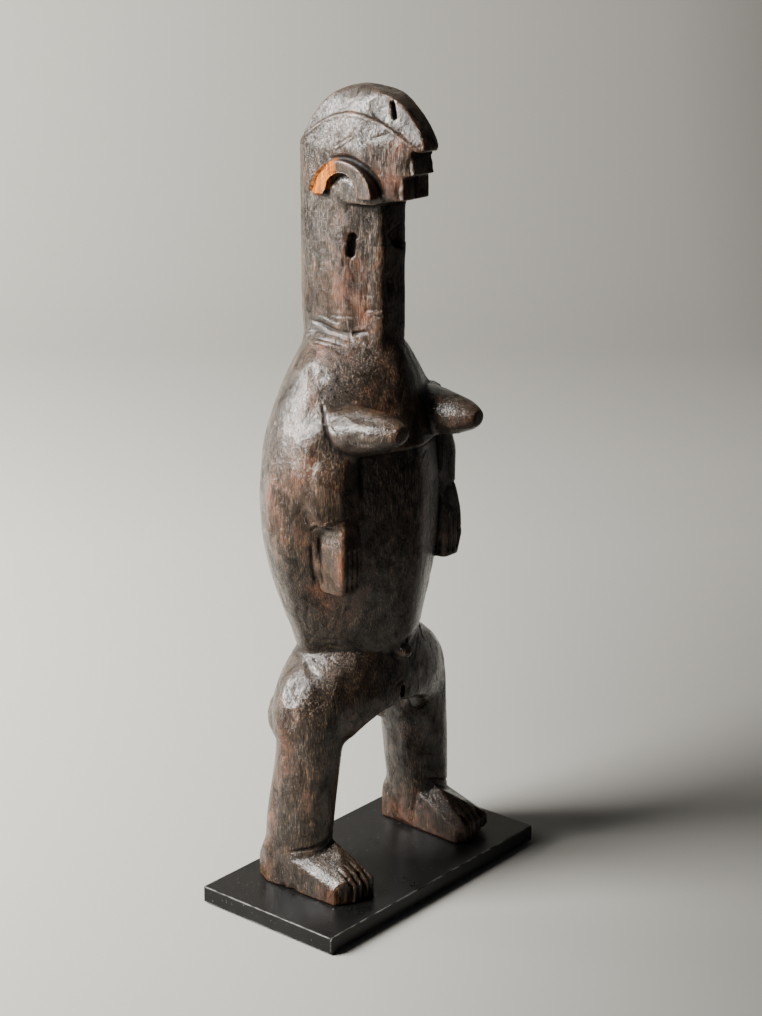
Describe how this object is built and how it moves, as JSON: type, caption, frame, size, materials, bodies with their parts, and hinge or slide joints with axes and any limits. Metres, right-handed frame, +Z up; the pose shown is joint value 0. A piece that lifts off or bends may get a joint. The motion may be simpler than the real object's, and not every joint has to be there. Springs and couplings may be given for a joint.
{
  "type": "carved wooden fertility doll on a display base",
  "caption": "Standing carved wooden fertility doll with a crested head, tall neck and dark worn patina, pinned on a thin black lacquered display base.",
  "frame": {"origin": "centre of the bounding box, on the surface that the felt pads stand on", "axes": "+Z up along the figure; the figure faces -Y; its right side is towards -X"},
  "size_m": [0.153, 0.0898, 0.38],
  "materials": {
    "carved_wood": "polished dark patina",
    "lacquered_base": "black satin lacquer",
    "pin_steel": "brushed",
    "felt": "matt felt"
  },
  "bodies": {
    "base": {"base_plate": "lacquered_base", "right_foot_pin": "pin_steel", "left_foot_pin": "pin_steel", "felt_pad_front_right": "felt", "felt_pad_front_left": "felt", "felt_pad_back_right": "felt", "felt_pad_back_left": "felt"},
    "figure": {"figure": "carved_wood"}
  },
  "joints": [
    {"name": "figure_lift", "type": "slide", "parent": "base", "child": "figure", "axis": [0, 0, 1], "range_m": [0, 0.03]}
  ]
}
